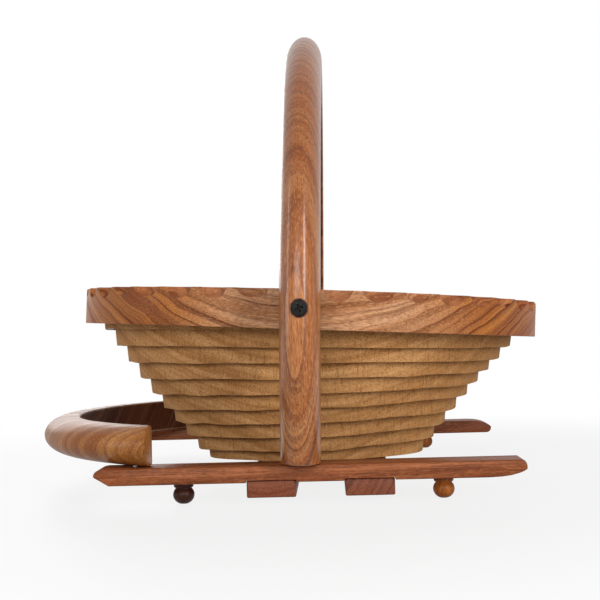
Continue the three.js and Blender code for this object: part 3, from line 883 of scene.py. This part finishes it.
slat = makeSlat()
for side, x in zip(("left", "right"), slatPlaces):
    twin = copyOf(slat, side + "Slat")
    twin.data.transform(Matrix.Translation(((layout["standX"] + x) * mm, 0, 0)))
    finishPiece(twin, side + "Slat", "stand", [side + "_slat"])
drop(slat)
print("slats placed")


# turned ball feet
feet = dict(ball=10.0, pad=4.0, ballHeight=7.0, neck=7.6, collar=9.2, collarHeight=2.2, collarEase=0.4,
            lip=0.35, tenon=5.0, tenonLength=4.0, sides=40, rings=32)


def makeFoot():
    padTurn = math.acos(feet["pad"] / feet["ball"])
    neckTurn = math.acos(feet["neck"] / feet["ball"])
    halfBall = feet["ballHeight"] / (math.sin(neckTurn) + math.sin(padTurn))
    middle = halfBall * math.sin(padTurn)
    collarTop = layout["footHeight"] - layout["seatGap"]
    deselectAll()
    bpy.ops.mesh.primitive_uv_sphere_add(segments=feet["sides"], ring_count=feet["rings"],
                                         radius=feet["ball"] / 2 * mm, location=(0, 0, middle * mm))
    foot = bpy.context.object
    foot.scale = (1, 1, halfBall / (feet["ball"] / 2))
    applyPlace(foot)
    startEdit(foot)
    level = feet["ballHeight"]
    for height, above in ((0, False), (level, True)):
        bpy.ops.mesh.select_all(action="SELECT")
        bpy.ops.mesh.bisect(plane_co=(0, 0, height * mm), plane_no=(0, 0, 1), use_fill=True,
                            clear_inner=not above, clear_outer=above, threshold=0.001 * mm)
    pick(foot, "FACE", lambda f: abs(f.normal.z) > 0.99 and f.calc_center_median().z > (level - 0.01) * mm)
    collarLow = collarTop - feet["collarHeight"]
    widest = collarLow + feet["collarEase"]
    for height, grow in ((collarLow, 1.0), (widest, feet["collar"] / feet["neck"]), (collarTop, 1.0)):
        extrudeUp(height - level)
        bpy.ops.transform.resize(value=(grow, grow, 1), center_override=(0, 0, height * mm))
        level = height
    bpy.ops.mesh.inset(thickness=(feet["collar"] - feet["tenon"]) / 2 * mm)
    extrudeUp(feet["tenonLength"] + layout["seatGap"])
    lowest, highest = (collarLow + feet["collarEase"] / 2) * mm, (collarTop + 0.01) * mm
    pick(foot, "EDGE", lambda e: sharpEdge(e, 35) and lowest < edgeMiddle(e).z < highest
         and all(math.hypot(*v.co.xy) > feet["neck"] / 2 * mm for v in e.verts))
    bpy.ops.mesh.bevel(offset=feet["lip"] * mm, segments=2, affect="EDGES")
    faceOut()
    return foot


foot = makeFoot()
footSides = list(zip(("left", "right"), (-1, 1), rails["footShares"], (darkFootWood, amberFootWood)))
for end, y, middle in (("front", railPlaces[0], frontMiddle), ("rear", railPlaces[1], rearMiddle)):
    for side, sign, share, finish in footSides:
        twin = copyOf(foot, end + side.title() + "Foot")
        twin.data.materials.append(finish)
        footX = middle + sign * (0.5 - share) * rails[end]["length"]
        twin.data.transform(Matrix.Translation((footX * mm, y * mm, 0)))
        finishPiece(twin, twin.name, "stand", ["foot_" + end + "_" + side])
drop(foot)
print("feet placed")


# cross-head screws and the bushes on the pivots
pivotScrew = dict(head=7.6, headHeight=2.0, shank=4.4, length=33.2, crown=0.9, seat=151.2, twist=20, sides=48)
standScrew = dict(head=6.0, headHeight=1.8, shank=2.8, crown=0.7, seat=5.0, hoopSeat=12.1,
                  short=10.7, long=17.7, sides=24)
bush = dict(outer=9.0, bore=5.0, length=8.4, start=124.8, edge=0.4, sides=48)
# the cross in a head, as shares of the head, and the shank's tip
cross = dict(long=0.58, wide=0.15, deep=1.2, taper=0.6, tip=0.12)


# head above zero, shank below, along Z
def makeScrew(sizes, length):
    head, high = sizes["head"] / 2, sizes["headHeight"]
    deselectAll()
    bpy.ops.mesh.primitive_cylinder_add(vertices=sizes["sides"], radius=head * mm, depth=high * mm,
                                        location=(0, 0, high / 2 * mm))
    screw = bpy.context.object
    applyPlace(screw)
    startEdit(screw)
    pick(screw, "EDGE", lambda e: edgeMiddle(e).z > (high - 0.01) * mm)
    bpy.ops.mesh.bevel(offset=sizes["crown"] * mm, segments=5, affect="EDGES")
    pick(screw, "FACE", lambda f: f.normal.z < -0.99)
    bpy.ops.mesh.inset(thickness=(head - sizes["shank"] / 2) * mm)
    extrudeUp(sizes["shank"] - length)
    extrudeUp(-sizes["shank"])
    bpy.ops.transform.resize(value=(cross["tip"], cross["tip"], 1), center_override=(0, 0, -length * mm))
    faceOut()
    cutters = []
    for turn in (0, math.pi / 2):
        deselectAll()
        bpy.ops.mesh.primitive_cube_add(size=1, location=(0, 0, high * mm), rotation=(0, 0, turn))
        slotCutter = bpy.context.object
        slotCutter.scale = (sizes["head"] * cross["long"] * mm, sizes["head"] * cross["wide"] * mm,
                            high * cross["deep"] * mm)
        applyPlace(slotCutter)
        startEdit(slotCutter)
        pick(slotCutter, "FACE", lambda f: f.normal.z < -0.99)
        bpy.ops.transform.resize(value=(cross["taper"], cross["taper"], 1), center_override=(0, 0, 0))
        endEdit()
        cutters.append(slotCutter)
    cutAway(screw, cutters)
    return screw


def placeScrew(screw, name, node, finish, matrix):
    twin = copyOf(screw, name)
    twin.data.materials.append(finish)
    twin.data.transform(matrix)
    finishPiece(twin, name, "stand", [node], 30)


# a place on the pivot axis, with Z turned outward
def pivotSpot(side, out):
    spot = Matrix.Translation((layout["axisX"] * mm, side * out * mm, pivotHeight * mm))
    return spot @ Matrix.Rotation(-side * math.pi / 2, 4, "X")


pivotEnds = (("front", -1), ("rear", 1))
screw = makeScrew(pivotScrew, pivotScrew["length"])
twist = Matrix.Rotation(math.radians(pivotScrew["twist"]), 4, "Z")
for end, side in pivotEnds:
    placeScrew(screw, end + "PivotScrew", "pivot_screw_" + end, blackSteel,
               pivotSpot(side, pivotScrew["seat"]) @ twist)
drop(screw)

shortScrew, longScrew = [makeScrew(standScrew, standScrew[size]) for size in ("short", "long")]


# a plain screw that points up from its seat
def placeStandScrew(screw, name, node, x, y, seat):
    spot = Matrix.Translation((x * mm, y * mm, seat * mm)) @ Matrix.Rotation(math.pi, 4, "X")
    placeScrew(screw, name, node, plainSteel, spot)


for end, railY, discY in zip(("front", "rear"), railPlaces, discScrewPlaces):
    for side, x in zip(("left", "right"), slatPlaces):
        spotX, corner = layout["standX"] + x, end + "_" + side
        placeStandScrew(shortScrew, end + side.title() + "RailScrew", "rail_screw_" + corner,
                        spotX, railY, standScrew["seat"])
        placeStandScrew(longScrew, end + side.title() + "DiscScrew", "disc_screw_" + corner,
                        spotX, discY, standScrew["seat"])
    placeStandScrew(longScrew, end + "HoopScrew", "hoop_screw_" + end,
                    hoopScrewX, railY, standScrew["hoopSeat"])
drop(shortScrew)
drop(longScrew)


def makeBush():
    deselectAll()
    bpy.ops.mesh.primitive_cylinder_add(vertices=bush["sides"], radius=bush["outer"] / 2 * mm,
                                        depth=bush["length"] * mm, location=(0, 0, bush["length"] / 2 * mm))
    tube = bpy.context.object
    applyPlace(tube)
    startEdit(tube)
    pick(tube, "FACE", lambda f: abs(f.normal.z) > 0.99)
    bpy.ops.mesh.inset(thickness=(bush["outer"] - bush["bore"]) / 2 * mm)
    bpy.ops.mesh.bridge_edge_loops()
    outside = (bush["outer"] / 2 - 0.1) * mm
    pick(tube, "EDGE", lambda e: sharpEdge(e, 50) and math.hypot(*e.verts[0].co.xy) > outside)
    bpy.ops.mesh.bevel(offset=bush["edge"] * mm, segments=3, affect="EDGES")
    faceOut()
    return tube


tube = makeBush()
for end, side in pivotEnds:
    twin = copyOf(tube, end + "PivotBush")
    twin.data.materials.append(blackSteel)
    twin.data.transform(pivotSpot(side, bush["start"]))
    finishPiece(twin, end + "PivotBush", "stand", ["pivot_spacer_" + end])
drop(tube)
print("screws and bushes placed")


# floor, light and camera
studio = dict(floor=12.0, floorTone=0.4, floorRough=0.45, floorGlow=0.84, sky=0.12, near=0.18, far=0.45,
              aim=(0, 0, 0.09))


def floorFinish():
    desk = NodeDesk("paleFloor")
    desk.shader.inputs["Base Color"].default_value = (studio["floorTone"],) * 3 + (1,)
    desk.shader.inputs["Roughness"].default_value = studio["floorRough"]
    glow = desk.add("ShaderNodeEmission")
    seen = desk.add("ShaderNodeLightPath")
    spot = desk.add("ShaderNodeTexCoord").outputs["Object"]
    away = desk.between(desk.vectors("LENGTH", spot), studio["near"], studio["far"], studio["floorGlow"], 1.0)
    looked = desk.sums("MAXIMUM", seen.outputs["Is Camera Ray"], seen.outputs["Is Glossy Ray"])
    blend = desk.add("ShaderNodeMixShader")
    desk.plug(desk.sums("MULTIPLY", away, looked), blend.inputs[0])
    desk.plug(desk.shader.outputs[0], blend.inputs[1])
    desk.plug(glow.outputs[0], blend.inputs[2])
    desk.plug(blend.outputs[0], desk.tree.nodes["Material Output"].inputs["Surface"])
    return desk.material


deselectAll()
bpy.ops.mesh.primitive_plane_add(size=studio["floor"], location=(0, 0, 0))
floor = bpy.context.object
floor.name = "floor"
floor.data.materials.append(floorFinish())

world = bpy.data.worlds.new("studioWorld")
bpy.context.scene.world = world
world.use_nodes = True
sky = world.node_tree.nodes["Background"]
seen = world.node_tree.nodes.new("ShaderNodeLightPath")
looked = world.node_tree.nodes.new("ShaderNodeMath")
looked.operation = "MAXIMUM"
world.node_tree.links.new(seen.outputs["Is Camera Ray"], looked.inputs[0])
world.node_tree.links.new(seen.outputs["Is Glossy Ray"], looked.inputs[1])
strength = world.node_tree.nodes.new("ShaderNodeMapRange")
strength.inputs["To Min"].default_value = studio["sky"]
strength.inputs["To Max"].default_value = 1.0
world.node_tree.links.new(looked.outputs[0], strength.inputs["Value"])
world.node_tree.links.new(strength.outputs["Result"], sky.inputs["Strength"])
sky.inputs["Color"].default_value = (1, 1, 1, 1)

lamps = [dict(name="keyLamp", place=(0.78, -1.05, 0.46), wide=0.16, tall=0.8, power=11.4),
         dict(name="frontLamp", place=(-0.3, -1.3, 0.42), wide=0.9, tall=0.35, power=7.8),
         dict(name="leftLamp", place=(-1.05, -0.2, 0.35), wide=0.12, tall=0.8, power=2.6),
         dict(name="backLamp", place=(-0.5, 1.25, 0.4), wide=0.9, tall=0.4, power=4.0)]
for lamp in lamps:
    light = bpy.data.lights.new(lamp["name"], "AREA")
    light.shape = "RECTANGLE"
    light.size = lamp["wide"]
    light.size_y = lamp["tall"]
    light.energy = lamp["power"]
    holder = bpy.data.objects.new(lamp["name"], light)
    holder.location = lamp["place"]
    aim = Vector(studio["aim"]) - Vector(lamp["place"])
    holder.rotation_euler = aim.to_track_quat("-Z", "Y").to_euler()
    bpy.context.scene.collection.objects.link(holder)

view = dict(place=(22.25, -649.0, 78.3), yaw=1.433, pitch=1.6, roll=-1.55, lens=68.83, sensor=36, near=0.01)
cameraData = bpy.data.cameras.new("camera")
cameraData.sensor_width = view["sensor"]
cameraData.lens = view["lens"]
cameraData.clip_start = view["near"]
camera = bpy.data.objects.new("camera", cameraData)
camera.matrix_world = (Matrix.Translation(Vector(view["place"]) * mm)
                       @ Matrix.Rotation(math.radians(view["yaw"]), 4, "Z")
                       @ Matrix.Rotation(math.radians(90 + view["pitch"]), 4, "X")
                       @ Matrix.Rotation(math.radians(view["roll"]), 4, "Z"))
bpy.context.scene.collection.objects.link(camera)
bpy.context.scene.camera = camera
bpy.context.scene.view_settings.view_transform = "Standard"
print("studio set")
